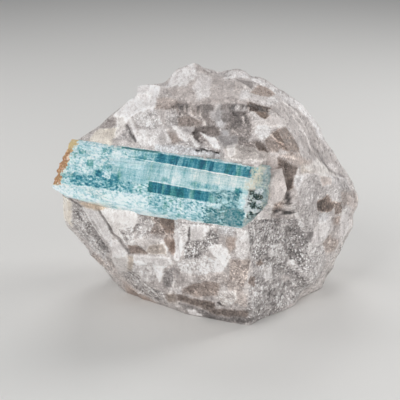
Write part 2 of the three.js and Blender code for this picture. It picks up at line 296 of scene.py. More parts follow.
# Zones of the front, laid out on a plane that leans back: tone (0 black, 1 white), warmth (1 brown,
# -1 bluish), cream, grain, step out of the block, and the corners of the outline, right and up from
# the heart. Later zones lie over earlier ones.
# Their tones are partly the quartz's own colours and partly the light and shade that fall on the front,
# painted in.
ZONES = {
    # Crest
    "crest": (0.69, 0.3, 0, 0.1, 0, [(-13, 33), (-5, 41), (6, 37), (14, 33), (14, 27), (-8, 27)]),
    "peak flank": (0.84, 0, 0, 0.2, 0, [(-13, 33), (-11, 38), (-4, 41), (-2, 37), (-6, 33)]),
    "crest haze": (0.79, 0.1, 0, 0.1, 0, [(-2, 38), (2, 36), (1, 29), (-2, 28), (-4, 32)]),
    "crest spot": (0.80, 0, 0, 0, 0, [(10.5, 28), (14, 28.5), (13.5, 32), (11, 31)]),
    "second bump": (0.83, 0, 0, 0.3, 0, [(6, 36), (8, 39), (13, 39), (15.5, 36.5), (10, 36.5)]),
    "under the bump": (0.58, 0.3, 0, 0, -0.3, [(9, 36.5), (15.5, 35), (15, 32.5), (12, 34.5)]),
    "right crest edge": (0.84, 0, 0, 0.3, 0,
     [(15, 35.5), (15, 37.5), (25, 33.5), (34, 26.5), (40, 17), (37, 17), (31, 25), (23, 31.5)]),
    "crest brown": (0.60, 0.7, 0, 0.2, -0.3, [(14, 31), (17, 34), (20, 33.5), (23, 31.5), (20, 30)]),
    "crest specks": (0.78, 0.1, 0, 0.5, 0, [(19.5, 27), (20, 30), (23, 30), (24, 26.5)]),
    "right field": (0.68, 0.25, 0, 0.1, 0,
     [(20, 26), (25, 29), (33, 24), (38, 16), (44, 9), (30, 9.5), (31, 13), (26, 19.5), (21, 21)]),
    # Left slope
    "slope white": (0.88, 0, 0, 0.1, 0.4,
     [(-29, 24), (-25, 28), (-22, 33), (-14.5, 33.5), (-15, 26), (-20, 25), (-25, 22)]),
    "slope grey": (0.58, 0.3, 0, 0.3, -0.2, [(-34, 20), (-31, 23), (-28, 23.5), (-28, 21), (-30, 20)]),
    "slope cream": (0.82, 0, 0.7, 0, 0, [(-39, 15), (-34, 20), (-27, 20), (-29, 15.5), (-29, 14)]),
    "slope band": (0.84, 0, 0.2, 0, 0.2, [(-28, 24), (-25, 23), (-25, 20), (-28.5, 17), (-27.5, 20)]),
    "wedge": (0.70, 0, 0, 0.2, -0.5,
     [(-25, 21.7), (-22.2, 18), (-21.8, 15.4), (-29.3, 16.2), (-27, 17.5), (-25.5, 19)]),
    "beside the wedge": (0.90, 0, 0, 0, 0, [(-24, 22.5), (-23, 22.5), (-20.3, 15), (-21.6, 15.5)]),
    "sparkling field": (0.79, 0, 0, 0.6, 0,
     [(-22.5, 23), (-20, 25.2), (-15.5, 25.5), (-13.5, 21), (-17, 19), (-20.7, 20)]),
    "milky, low": (0.84, 0, 0, 0.2, 0, [(-21, 19.5), (-17, 19), (-13, 20.5), (-10.5, 15), (-20.5, 14)]),
    "clear pane": (0.72, 0, 0, 0, 0, [(-14.3, 18.5), (-12.5, 19), (-12.3, 14.8), (-14.5, 14.8)]),
    "shoulder": (0.66, 0.5, 0, 0.3, 0, [(-15.3, 29.5), (-10, 29), (-7, 27), (-8, 25), (-15.5, 25.5)]),
    # Smoky window
    "window": (0.60, 0.3, 0, 0.4, -0.2, [(-8, 27), (13, 27), (15, 20), (12, 13), (-1, 15), (-9, 20)]),
    "window, upper left": (0.70, 0, 0, 0.4, 0, [(-12.5, 25), (-9, 25.5), (-8.5, 20), (-12, 20)]),
    "window, corner": (0.52, 0.5, 0, 0.1, -0.2, [(-9, 27), (-4, 27), (-5, 25.4), (-12, 25.5)]),
    "window, left brown": (0.58, 0.5, 0, 0.1, 0,
     [(-8.5, 22.7), (-6, 23.7), (-1, 21.5), (-2, 20), (-8, 20)]),
    "veined wedge": (0.62, 0.4, 0, 0, 0.2, [(-6.5, 26.2), (-2, 26), (-1.4, 23.3), (-4, 23.7)]),
    "window, veil": (0.75, 0, 0, 0, 0.2, [(-10.5, 20), (-3.5, 19.9), (-4, 18), (-6, 17), (-8.5, 18)]),
    "window, low brown": (0.58, 0.5, 0, 0, -0.2, [(-11.5, 18.8), (-9, 17.6), (-7, 15), (-10.5, 14.8)]),
    "slanting veil": (0.79, 0, 0, 0.1, 0.2, [(-10.2, 20), (-9, 19.5), (-4.8, 15.4), (-6.3, 15)]),
    "window, dark": (0.45, 0.4, 0, 0.1, -0.4, [(-4, 18), (-2.5, 20.3), (3, 20.3), (2, 18.4), (-3, 16)]),
    "grey column": (0.55, 0.3, 0, 0, 0, [(-1.3, 26.6), (1.4, 26.6), (1, 20.3), (-0.2, 20.3)]),
    "milky column": (0.72, -0.3, 0, 0, 0.1, [(1.5, 25), (3, 25), (3.4, 22.3), (2, 22.8)]),
    "blue column": (0.63, -0.4, 0, 0, 0, [(3.2, 26.6), (5, 26.6), (5.2, 20), (3.2, 20)]),
    "brown column": (0.55, 0.2, 0, 0.1, 0, [(5.1, 26.6), (8, 26.6), (8, 21), (5.3, 21)]),
    "window, right dark": (0.47, 0.3, 0, 0.2, 0, [(8, 24.8), (13, 24.5), (13.5, 21), (9, 19), (7.5, 21)]),
    "haze": (0.74, -0.4, 0, 0, 0, [(3.4, 21), (5, 22), (6.2, 21), (5.8, 19.2), (4, 19.2)]),
    "brown pane": (0.50, 0.4, 0, 0, 0, [(0.3, 19.8), (4, 19.5), (4.4, 17), (0.6, 17)]),
    "second haze": (0.68, -0.5, 0, 0, 0, [(4.8, 18.7), (7.3, 18.7), (7, 16.7), (4.8, 16.7)]),
    "blue pane": (0.60, -0.3, 0, 0, 0.2, [(3.4, 16.2), (5, 17), (10, 16.8), (10, 14.3), (5.5, 12.8)]),
    # Painted shade under the ledge's overhang, over the top row of the window.
    "under the ledge": (0.46, 0.3, 0, 0.1, -0.3, [(-8.5, 27), (13, 27), (13, 25.5), (-8.5, 25.2)]),
    # A painted highlight under the ledge.
    "highlight under the ledge": (0.80, -0.2, 0, 0.4, 0, [(8.8, 26.3), (13.2, 26.1), (12, 24.9), (9, 25)]),
    "under the crest": (0.36, 1, 0, 0.2, -0.5,
     [(13, 27.6), (17, 27), (20.5, 26), (19.5, 24.8), (14, 25)]),
    "olive heart": (0.42, 0.9, 0.3, 0.1, -0.4, [(15, 25), (20, 25), (19.5, 22.3), (18.5, 22.2)]),
    "pale pink field": (0.76, 0.25, 0, 0.1, 0.3,
     [(14, 21.5), (18, 21.8), (21, 24), (24.5, 22), (25, 20), (19, 19.5), (15, 19.7)]),
    "round veil": (0.86, 0, 0, 0.1, 0.4,
     [(15.1, 18), (16, 20), (18.3, 20.2), (20, 18.4), (19.4, 16.2), (17.8, 15.3), (15.8, 16.2)]),
    "speckled brown": (0.54, 0.4, 0, 0.5, 0, [(12, 14.8), (15.3, 15.3), (15.3, 12.8), (12.5, 12.5)]),
    "brown triangle": (0.45, 0.8, 0, 0.1, -0.5, [(15.2, 15.3), (17.8, 14.3), (19.3, 11.6), (16.2, 11.5)]),
    "between the browns": (0.60, 0.6, 0, 0.3, 0,
     [(18, 15.5), (21, 18), (23.5, 13.5), (22, 11.5), (19.3, 11.8)]),
    "right brown": (0.51, 1, 0, 0.3, -0.1,
     [(20.8, 17.5), (22.5, 19), (25, 19.7), (29, 14.5), (29, 11.8), (26, 11.3), (22.5, 13.3)]),
    "speckled foot": (0.74, 0, 0, 0.6, 0, [(-8, 15), (-4.5, 14.8), (2, 12.5), (-7, 12)]),
    "left dagger": (0.86, 0, 0, 0, 0.2, [(-5, 17), (-4.2, 17), (-1.6, 13.6), (-3, 13.4)]),
    "dagger": (0.93, -0.1, 0, 0, 0.5, [(-2, 18.1), (0.8, 16.2), (2.8, 16), (5, 12.6), (2.6, 12.8)]),
    "fringe over the crystal": (0.80, -0.6, 0, 0.35, 0,
     [(-16, 14.6), (-8, 14), (0, 12.4), (5, 11.2), (5, 10), (-4, 11), (-16, 12)]),
    # Right of the crystal
    "pink quartz": (0.77, 0.3, 0, 0, 0,
     [(15, 11), (22, 10.5), (23.5, 4), (25, -0.5), (23, -4), (19, -8), (16, -9), (19, 2)]),
    "chips": (0.68, 0.15, 0.2, 0.1, 0.2, [(5.5, 13.5), (9, 14), (15, 13), (20, 11), (17, 9), (6, 9.5)]),
    "first chip": (0.82, 0, 0.1, 0.1, 0.3, [(6.3, 13.5), (9, 13.8), (8.8, 10.8), (6.8, 10)]),
    "above the hollow": (0.68, 0.5, 0, 0.2, 0, [(22, 11), (28, 11.5), (34, 9), (34, 7.5), (28, 7.5)]),
    "hollow": (0.46, 0.7, 0, 0.1, -0.4, [(22, 10.2), (28.5, 7), (27.5, 4), (27, 1), (25, 0), (23.5, 5)]),
    "hollow's foot": (0.36, 1, 0, 0, -0.4, [(24.3, 3.5), (27.2, 3.6), (27.2, 0.8), (25.2, -0.2)]),
    "cool facet": (0.76, -0.3, 0, 0.1, 0.2, [(27.4, 4.5), (30, 4.6), (29.7, 1), (28, 0.6)]),
    "tan facet": (0.68, 0.2, 0.5, 0.1, 0, [(29.5, 8), (33, 7.8), (33.5, 5.6), (29.5, 5.5)]),
    "crystal's end rim": (0.78, 0.4, 0.4, 0.3, 0, [(17, 0), (19.5, -1), (17, -6), (12, -10), (13, -6)]),
    "brown by the crack": (0.55, 0.7, 0, 0.4, -0.2, [(20, -4), (24, -3), (24.6, -5), (20.5, -6.4)]),
    # Lump and right side
    "lump": (0.69, 0, 0, 0.3, 0.9,
     [(28.3, 1), (31, 5), (38, 5.5), (46, 4), (49, -3), (44, -8), (36, -8), (34, -12.8), (31.8, -12.8),
      (29, -9), (26.8, -5), (27.8, -2)]),
    "lump, rosy": (0.70, 0.4, 0, 0.1, 0.7, [(35, 5), (40, 4.5), (40, 2), (36, 1.5)]),
    "band over the lump": (0.82, 0.1, 0.2, 0.1, 0.1,
     [(30, 7.5), (36, 10), (43, 5.5), (38, 5), (33, 5.5)]),
    "stain": (0.42, 0.9, 0, 0.4, 0.5,
     [(34.7, -3), (37, -2.2), (38.3, -0.8), (39.3, -3.3), (42, -3), (40, -5.8), (37, -6.6), (35, -6)]),
    "stain, right": (0.53, 0.7, 0, 0.4, 0.5, [(40.5, -3), (44, -3.5), (44, -6.8), (41, -7.6)]),
    "right edge, rosy": (0.66, 0.4, 0, 0.2, 0, [(43, 0), (49, 0), (48.5, -4.5), (44.5, -5)]),
    "right edge, milky": (0.83, 0, 0, 0.2, 0.2, [(44.5, -6), (49, -5), (48, -12), (45, -17), (44, -11)]),
    "bluish facet": (0.78, -0.4, 0, 0.2, 0, [(36, -7), (39.5, -7), (39.5, -9.5), (36, -9.5)]),
    "low knob": (0.78, 0, 0, 0.1, 0.6,
     [(36, -10), (40, -8.8), (41, -12), (38.5, -16), (35, -17.5), (33, -17.2), (35, -14)]),
    "tan, right": (0.62, 0.6, 0, 0.2, 0, [(41.5, -8), (44.5, -8), (43.5, -11), (41.5, -10.5)]),
    "brown, right": (0.62, 0.5, 0, 0.4, 0, [(40, -14), (44, -16), (43.5, -20), (38.5, -20), (38, -17)]),
    "under the lump": (0.52, 0, 0, 0.3, -0.6, [(30.8, -13.5), (35, -13), (33.8, -16.5), (31.3, -15.5)]),
    "lavender, right": (0.68, 0, 0, 0.6, 0, [(32, -17), (38, -17.5), (40, -24), (36, -32), (30, -33)]),
    # Grain field and low right
    "grain field": (0.63, 0, 0, 1, -0.3,
     [(13, -9), (20, -8.5), (29, -9), (33, -14), (33, -21), (30, -28), (22, -26), (15, -24), (13, -16)]),
    "grain, light": (0.74, -0.1, 0, 1, 0, [(19.5, -16.5), (24, -16.5), (24.5, -19.5), (20, -21)]),
    "grain, dark": (0.55, 0.1, 0, 1, -0.2, [(25, -17), (28.5, -17), (28, -22), (25.5, -20.5)]),
    "pale by the crack": (0.80, 0.1, 0, 0.1, 0.2, [(15.5, -5.5), (20, -5), (20, -8.4), (16, -8.4)]),
    "glint": (0.95, 0, 0, 0.2, 0.3, [(27, -22.3), (28.2, -21.8), (29.2, -23), (27.6, -23.6)]),
    "below the grain": (0.64, 0, 0, 0.5, 0, [(15, -24.5), (24, -25), (25, -30), (19, -33), (15, -30)]),
    "pale rung": (0.82, 0, 0, 0.2, 0.2, [(18, -23.8), (20.7, -24), (21, -28.5), (19, -28)]),
    "low right": (0.64, 0, 0, 0.8, 0, [(14, -30), (24, -30), (33, -27), (34, -34), (20, -41), (12, -43)]),
    "low right, dark": (0.52, 0.1, 0, 0.6, -0.3, [(19.5, -33), (21.5, -31), (24, -31.5), (22.5, -34.5)]),
    "grain's brown spot": (0.46, 0.8, 0, 0.2, -0.2,
     [(15.8, -22.5), (17.5, -21.7), (18.6, -23), (16.5, -23.8)]),
    "ridge's brown spot": (0.48, 0.7, 0, 0.2, -0.3,
     [(14.2, -26), (15.5, -27), (15.3, -30), (13.2, -28.4)]),
    # Left side, under the crystal
    "cream edge": (0.84, 0, 0.7, 0, 0.3, [(-46, -1), (-42, -3.5), (-42.7, -7), (-43, -11.3), (-46, -9)]),
    "left scar": (0.70, 0, 0, 0.8, -0.2,
     [(-42, -4), (-38.5, -5), (-36, -12), (-31, -19.5), (-33.5, -22.5), (-43, -11.5), (-42.5, -7)]),
    "scar, dark": (0.56, 0, 0, 0.6, -0.2, [(-38, -10), (-36.3, -10.5), (-31, -19.7), (-34, -20)]),
    "light band": (0.83, -0.1, 0, 0.1, 0.3,
     [(-38.5, -5), (-34, -5.3), (-31, -9), (-29.5, -14), (-29.5, -19.5), (-35, -12.5), (-37, -8.5)]),
    "shelf": (0.88, 0, 0.1, 0, 0.6,
     [(-33.3, -5), (-21.5, -5.5), (-21, -9), (-22.3, -13), (-25, -16), (-28, -14), (-31, -8.5)]),
    "shelf's rough end": (0.76, 0.1, 0, 0.9, 0.4,
     [(-27, -12), (-22.5, -11), (-22.3, -14.5), (-24.5, -17)]),
    "recess, pale corner": (0.75, 0.1, 0, 0.9, -0.2,
     [(-21, -8), (-17, -9), (-16, -12), (-18, -14.5), (-22, -14.5)]),
    "recess": (0.60, 0.5, 0, 0.5, -0.4,
     [(-18.5, -7.5), (-9.7, -8.5), (-9.7, -15), (-17.5, -13.5), (-16, -10)]),
    "recess, brown": (0.51, 1, 0, 0.1, -0.5,
     [(-14, -8), (-10.3, -8.5), (-9.6, -13), (-12, -13), (-14, -10)]),
    "tongue": (0.77, 0.1, 0.1, 0.1, 0.5,
     [(-24, -16.5), (-20, -14.3), (-14, -15), (-12, -17.8), (-11.5, -19.7), (-20, -19.8), (-23, -18)]),
    "tongue, tan": (0.67, 0.3, 0.4, 0.1, 0.5, [(-17, -16.5), (-13, -16), (-11.7, -19.5), (-18.5, -19.5)]),
    "brown wedge": (0.52, 1, 0, 0, -0.5,
     [(-13.3, -14.8), (-9.5, -15), (-9, -18), (-9.3, -20.3), (-11.7, -17.8)]),
    # Painted shadow, tinted brown, beside the raised tongue.
    "brown shade beside the tongue": (0.55, 0.7, 0, 0.2, -0.4,
     [(-24.7, -17), (-21, -17.3), (-18, -19.8), (-24, -19.9)]),
    "lower shelf": (0.86, 0, 0, 0, 0.4,
     [(-29.8, -16), (-27, -15.3), (-24.5, -19.3), (-26, -21.5), (-30, -21.5)]),
    "lower shelf's foot": (0.78, 0, 0.1, 0, 0.3,
     [(-30.5, -21.3), (-24.7, -20.5), (-25, -25), (-28, -27)]),
    "tan seam": (0.70, 0.3, 0.6, 0, 0, [(-24.5, -20.5), (-23, -20.5), (-22.8, -25), (-25, -26)]),
    "grey field": (0.78, 0, 0, 0.5, 0,
     [(-23, -23.5), (-15, -23.5), (-14.8, -28), (-19, -29), (-24, -26)]),
    "ledge": (0.82, 0, 0, 0, 0.5,
     [(-22.7, -20.3), (-11, -20.5), (-10.3, -22.8), (-13, -24), (-22.7, -22.5)]),
    "ledge's lip": (0.97, 0, 0, 0, 0.6, [(-22.7, -22.3), (-20, -22), (-18.7, -23.2), (-22, -23.5)]),
    "white facet": (0.93, 0, 0, 0, 0.4, [(-16.3, -23.5), (-12.7, -23.5), (-13.3, -26), (-14.7, -29.5)]),
    "left foot": (0.67, 0.1, 0, 0.8, -0.2,
     [(-28, -27), (-23, -26), (-19, -30), (-13, -33), (-14, -37), (-21, -33)]),
    "left foot's rim": (0.79, 0, 0, 0.6, 0.2,
     [(-38, -17), (-33, -22), (-28, -27.3), (-20, -32.8), (-15, -36.5), (-26, -37), (-38, -26)]),
    "foot groove": (0.60, 0, 0, 0.4, -0.3,
     [(-13, -25.5), (-10.3, -24.8), (-10.2, -30), (-12.5, -32), (-13.7, -29)]),
    "rusty ledge": (0.72, 0.5, 1, 0.1, 0,
     [(-39.5, -3.4), (-33, -3.7), (-30.3, -5.4), (-33, -6.3), (-37.5, -5.2)]),
    # Below the crystal and low front
    "under the crystal": (0.79, 0.1, 0, 0.5, 0,
     [(-9.5, -9), (3, -10), (0, -14.5), (-7, -18), (-9.5, -21.5)]),
    "white column": (0.86, 0, 0, 0.2, 0.3,
     [(-9, -12), (-8.2, -12.3), (-7, -17), (-8, -21.5), (-9.3, -21)]),
    "cool facet, low": (0.82, 0, 0, 0, 0.2, [(-4.6, -10.5), (-0.3, -10.5), (0, -13.5), (-4.9, -15.6)]),
    "cool under the crystal": (0.76, -0.4, 0, 0.3, 0, [(3, -10.3), (9, -11), (8, -13.7), (4, -13)]),
    "light columns": (0.83, 0.1, 0, 0.3, 0.2,
     [(9.5, -12), (12.5, -12), (13.5, -16.5), (12, -21), (9.3, -20)]),
    "sparkling band": (0.62, 0, 0, 1, -0.2,
     [(-7, -17), (-5, -15.4), (0, -14.5), (1.5, -11.7), (4.5, -13.5), (3.5, -16), (-2, -20.5), (-6, -21)]),
    "rosy pane": (0.67, 0.6, 0, 0.1, 0, [(6.3, -14), (9.5, -14.3), (9, -17.5), (7.2, -18.7), (6, -16.3)]),
    "left white": (0.82, 0, 0, 0.7, 0, [(-9, -22), (0, -20), (4, -22), (3.5, -26), (-7, -26)]),
    "white patch": (0.92, 0, 0, 0.4, 0.25,
     [(0.8, -17.3), (4, -16.3), (6, -17.5), (7.5, -20), (6.3, -23), (4.3, -26.3), (2.8, -24), (3.3, -20.3)]),
    "rosy low right": (0.66, 0.5, 0, 0.4, 0, [(7.5, -21), (14, -21), (13, -27), (12, -30), (7, -28)]),
    "below the white": (0.72, 0.3, 0, 0.3, 0, [(-4, -26.5), (6.5, -25), (6, -29.5), (0, -28.7)]),
    "rosy streaks": (0.70, 0.4, 0, 0.3, 0,
     [(6, -27), (10, -28), (13, -33), (13, -37), (9, -35), (7, -31)]),
    "low brown": (0.57, 0.6, 0, 0.3, -0.2,
     [(-8, -32), (-5, -29.8), (0, -28.3), (4.3, -29), (4, -33), (-3, -34)]),
    "pale spot": (0.76, 0, 0, 0.1, 0.2, [(-9.5, -31), (-8, -30.7), (-7.4, -32.7), (-9.3, -33.2)]),
    "low brown, deep": (0.45, 0.7, 0, 0.2, -0.2,
     [(-9.3, -33), (-4, -34.5), (3, -35.5), (3, -38), (-5, -36.6), (-9, -35.5)]),
    "olive corner": (0.57, 0.4, 0.4, 0.1, 0, [(-13, -33), (-9.5, -33), (-9.3, -36), (-12, -36)]),
    "nodule": (0.77, 0.2, 0.1, 0.5, 0.8,
     [(3.8, -32), (6, -30.7), (9, -31), (9.6, -33.5), (8, -35.6), (5, -35.5)]),
    "foot band": (0.45, 0.6, 0, 0.2, -0.1, [(-2, -36.5), (5, -37.3), (14, -38), (13, -40.3), (3, -39.5)]),
    "foot, grey": (0.50, 0.1, 0, 0.2, 0,
     [(-9, -36.3), (-3, -37.5), (6, -40), (18, -40), (12, -43), (-5, -40)]),
    "foot's rim": (0.84, 0, 0, 0.1, 0.3, [(-6, -38.3), (-3.5, -37.8), (-0.8, -40.2), (-4.5, -40.3)]),
    "foot's rim, right": (0.74, 0.1, 0, 0.3, 0, [(3, -41.5), (14, -42), (14, -44), (2, -43)]),
}

# Seams, veins and thin shadows: tone, half width, places along the line.
SEAMS = [
    (0.38, 0.28, [(-8, 26.1), (3, 26.0), (13, 26.3)]),  # shadow under the ledge
    # Painted shadow at the ledge's edge, above its highlight.
    (0.35, 0.15, [(8.4, 26.7), (11.5, 26.5)]),
    (0.22, 0.12, [(-2.7, 12.4), (-0.5, 12.5), (0.6, 12)]),  # painted shade in the gap along the crystal's top edge
    (0.25, 0.12, [(1.2, 12), (4.5, 11.4)]),
    (0.80, 0.25, [(-6.5, 26), (-5, 24), (-2, 22.3), (0, 20.5)]),  # veins in the window
    (0.80, 0.2, [(-2, 25.5), (-1.5, 23.5), (-0.5, 21.5)]),
    (0.78, 0.25, [(15, 24.5), (17, 22.8), (18, 21.5)]),
    (0.82, 0.2, [(20, 17), (22, 15), (23.5, 14)]),
    (0.86, 0.2, [(11.5, 23), (12, 21)]),
    (0.35, 0.12, [(8.5, 24), (10, 23.2)]),
    (0.38, 0.12, [(8.7, 22.8), (10.2, 22.6)]),
    (0.40, 0.3, [(-3.6, 18), (-2.6, 16), (-1.2, 14.7)]),
    (0.38, 0.4, [(-24.8, 21), (-23.6, 18), (-22, 15.7)]),  # shadow in the wedge
    (0.86, 0.3, [(20, 11.5), (24, 10.6), (28, 9.5)]),  # lip over the hollow
    (0.52, 0.35, [(36, 13), (38, 10), (40, 7), (43, 5.5), (46, 4.8)]),  # groove over the lump
    (0.60, 0.3, [(34, 15), (36, 12.5), (38, 10.8)]),
    (0.86, 0.3, [(35.5, 10), (38, 7.3), (41, 5)]),
    (0.86, 0.3, [(25, 29), (29, 25), (33, 19)]),  # layers of the right field
    (0.60, 0.25, [(24, 28), (25.5, 25)]),
    (0.84, 0.25, [(28, 24), (32, 17), (34, 13)]),
    (0.62, 0.25, [(30, 24), (33.5, 18)]),
    (0.28, 0.5, [(25.2, -0.3), (25.3, -2)]),  # painted shade in the crack between the crystal's quartz and the lump
    (0.22, 0.75, [(25.6, -1.8), (25.8, -3.8)]),
    (0.80, 0.3, [(22, -4.5), (26, -5.2)]),
    (0.30, 0.7, [(21, -6.2), (24, -6.6), (27, -6.7)]),
    (0.86, 0.25, [(23.6, -6.5), (22, -7.5), (21, -9)]),
    (0.50, 0.35, [(15, -9.2), (20, -9.2)]),
    (0.88, 0.3, [(27.2, -3), (27, -5), (29, -9.3), (31.8, -12.8)]),  # painted highlight on the lump's edge
    (0.50, 0.35, [(-47, -0.3), (-42, -2.6), (-39, -4.7)]),  # painted shadow under the crystal's left end
    # Painted shadow under the shelf's edge.
    (0.55, 0.35, [(-33, -6), (-31, -9.5), (-29.5, -13), (-27, -15.5), (-25, -18), (-24.2, -19.7)]),
    (0.54, 0.25, [(-41.5, -6), (-38, -12), (-34, -17)]),  # streaks of the scar
    (0.80, 0.25, [(-41, -10), (-37, -15), (-33.5, -20)]),
    (0.72, 0.25, [(-36.3, -8), (-34, -13), (-31, -17.5)]),
    (0.55, 0.35, [(-21.3, -10.5), (-22.4, -13)]),
    (0.50, 0.4, [(-20, -6.8), (-15, -7.7), (-10, -8.6)]),  # painted shadow under the crystal's lower edge
    (0.60, 0.25, [(-8, -9.5), (2, -10.3)]),
    (0.45, 0.3, [(-4.9, -11), (-5.2, -15), (-6.4, -18)]),
    (0.88, 0.25, [(-5.8, -11), (-6, -14.5), (-7, -18)]),
    (0.90, 0.4, [(-9.8, -28), (-10.3, -31), (-11.4, -33)]),  # white ridge of the foot
    (0.52, 0.3, [(-26, -28), (-20, -33), (-15, -36)]),  # streaks of the left foot
    (0.85, 0.3, [(-29, -27.5), (-24, -31), (-20, -33.5)]),
    (0.78, 0.25, [(-21, -29), (-16, -33)]),
    (0.50, 0.25, [(-20, -29.3), (-15, -33.2)]),
    (0.30, 0.3, [(4, -35.3), (5.5, -35.8)]),
    (0.82, 0.3, [(14, -22), (13.5, -25), (11.5, -28)]),  # ridge right of the low front
    (0.85, 0.3, [(14.6, -30.7), (16, -32.5)]),
    (0.82, 0.3, [(25.5, -34.5), (23.5, -37.5)]),
    (0.84, 0.25, [(15, -11), (15.3, -13.5)]),
]

# Humps and dents of the outline: right and up from the heart, radius, rise.
HUMPS = [
    (-3.2, 41.5, 5.0, 0.8), (-13, 36.5, 4.5, -1.2), (-20, 33.8, 5.5, 1.2), (27, 33.5, 7.0, -1.3),
    (15.5, 38.5, 3.0, -0.8), (32.5, -34, 5.0, -1.2), (48, -7.5, 6.0, -1.0), (5, 39.3, 3.0, -0.5),
]

ZONE_EDGE = 0.15  # width over which the colour of a stepped zone fades in
SOFT_EDGE = 0.45  # the same for a zone with hardly a step
STEP_EDGE = 0.6  # width over which a zone's step rises
SHARP_STEP = 0.3  # zones with at least this step have the sharp edge
RIM_STEP = 0.2  # zones that stand out by at least this get a painted highlight along their rim
RIM_HIGHLIGHT = 0.09
RIM_WIDTH = 0.45


def off_path(x, y, places):
    """Distance from each point to a path of straight runs: the least of its distances to them.

    A run's nearest place is where the square from the point falls on it, or else its nearer end.
    """
    nearest = np.full(len(x), np.inf)
    for (ax, ay), (bx, by) in zip(places, places[1:]):
        run, rise = bx - ax, by - ay
        t = np.clip(((x - ax) * run + (y - ay) * rise) / (run ** 2 + rise ** 2), 0, 1)
        nearest = np.minimum(nearest, np.hypot(x - ax - t * run, y - ay - t * rise))
    return nearest


def inside_outline(x, y, corners):
    """Distance to a closed outline of straight sides: positive inside and negative outside.

    A point is inside if a level line from it to the right crosses an odd number of sides.
    """
    closed = corners + corners[:1]
    nearest = off_path(x, y, closed)
    inside = np.zeros(len(x), bool)
    for (ax, ay), (bx, by) in zip(closed, closed[1:]):
        beside = ax + (bx - ax) * (y - ay) / ((by - ay) or 1)
        inside ^= ((ay > y) != (by > y)) & (x < beside)
    return np.where(inside, nearest, -nearest)


QUARTZ_SIDE = 129  # points along each side of the cube's faces
FRONT_PULL = direction(-5, 15) * 0.4  # crowds the mesh's points on the front
rays, quads = cube_sphere(QUARTZ_SIDE, FRONT_PULL)
# The breaks are swayed by noise at the places that they have without sway.
skin = rays * block_reach(rays, lambda k: 0.0)[:, None]
reach = block_reach(rays, lambda k: 0.45 * waves(skin, 13, k) + 0.25 * waves(skin, 5, k + 9))
skin = rays * reach[:, None]
floor_reach = HEART_IN_BLOCK[2] / np.maximum(-rays[:, 2], 1e-6)  # the break it stands on

# The flaking is worked out on the plain shape of the breaks, so that the walls of recesses don't
# stretch it. It comes in four sizes.
plain_reach = np.minimum.reduce([
    distance / np.maximum(rays @ direction(azimuth, elevation), GRAZING)
    for azimuth, elevation, distance in BREAKS])
plain = rays * plain_reach[:, None]
big, big_share, _ = flakes(plain, 11, 1)
medium, medium_share, medium_edge = flakes(plain, 4.2, 2)
small, small_share, small_edge = flakes(plain, 2.0, 3)
fine, fine_share, _ = flakes(plain, 1.0, 4)

# The zones of the front fade out round the sides. Behind them the quartz changes slowly: milky,
# smoky, rosy, stained or grainy.
behind = smooth(2, -6, skin @ FRONT_OUT)  # from 2 mm before the heart to 6 mm behind it
drift = mottle(skin, 22, 3, 71)
rosy = mottle(skin, 18, 2, 72)
stained = mottle(skin, 14, 3, 73)
coarse = mottle(skin, 16, 3, 74)
tone = 0.72 + 0.05 * (big_share - 0.5) + behind * 0.11 * drift
tone = tone - behind * 0.10 * smooth(0.15, 0.5, rosy)
warmth = 0.2 + behind * 0.6 * smooth(0.1, 0.5, rosy)
cream = behind * 0.45 * smooth(0.25, 0.6, stained)
grain = 0.2 + behind * 0.55 * smooth(0.0, 0.35, coarse)
step = np.zeros(len(skin))

WANDER = [(0.35, 3.0), (0.22, 1.1), (0.12, 0.5)]  # height and length of the waves of an outline


def wandering(axis, seeds):
    """Each point's place along an axis of the front, plus three waves that make outlines ragged."""
    ragged = [height * waves(skin, size, seed) for (height, size), seed in zip(WANDER, seeds)]
    return skin @ axis + sum(ragged)


right = wandering(FRONT_RIGHT, (11, 12, 15))
up = wandering(FRONT_UP, (13, 14, 16))
fronted = 1 - behind
for level, warm, creamy, grainy, rise, corners in ZONES.values():
    depth_in = inside_outline(right, up, corners)
    edge = ZONE_EDGE if abs(rise) >= SHARP_STEP else SOFT_EDGE
    share = smooth(-edge, edge, depth_in) * fronted
    tone += (level - tone) * share
    warmth += (warm - warmth) * share
    cream += (creamy - cream) * share
    grain += (grainy - grain) * share
    step += (rise - step) * smooth(-STEP_EDGE, STEP_EDGE, depth_in) * fronted
    # A painted highlight along the rim of a zone that stands out.
    if rise >= RIM_STEP:
        tone += RIM_HIGHLIGHT * smooth(RIM_WIDTH, 0.1, np.abs(depth_in)) * fronted
shallow = smooth(-16, -11, skin @ FRONT_OUT)
for x, y, radius, rise in HUMPS:
    off = np.hypot(skin @ FRONT_RIGHT - x, skin @ FRONT_UP - y)
    step += rise * shallow * smooth(radius, 0, off)
for level, half_width, places in SEAMS:
    share = smooth(half_width + 0.2, half_width * 0.4, off_path(right, up, places))
    tone += (level - tone) * share * fronted

# The larger flakes are deeper behind, where no zones break up the skin, and the smaller ones where
# it is grainy.
reach = reach + step
for flake, depth in [
    (big, 1.1 + 1.1 * behind),
    (medium, 0.6 + 1.1 * behind),
    (small, 0.07 + 0.33 * grain),
    (fine, 0.01 + 0.12 * grain),
]:
    reach = reach + depth * (flake - flake.mean())
reach = np.minimum(reach, floor_reach)
skin = rays * reach[:, None]

tone += 0.09 * (medium_share - 0.5) + (0.03 + 0.08 * grain) * (small_share - 0.5)
tone += (0.02 + 0.12 * grain) * (fine_share - 0.5)
# Where the medium and small flakes meet in ridges; the shader paints a highlight along them.
edges = np.maximum(smooth(0.10, 0.0, medium_edge), 0.6 * smooth(0.10, 0.0, small_edge))


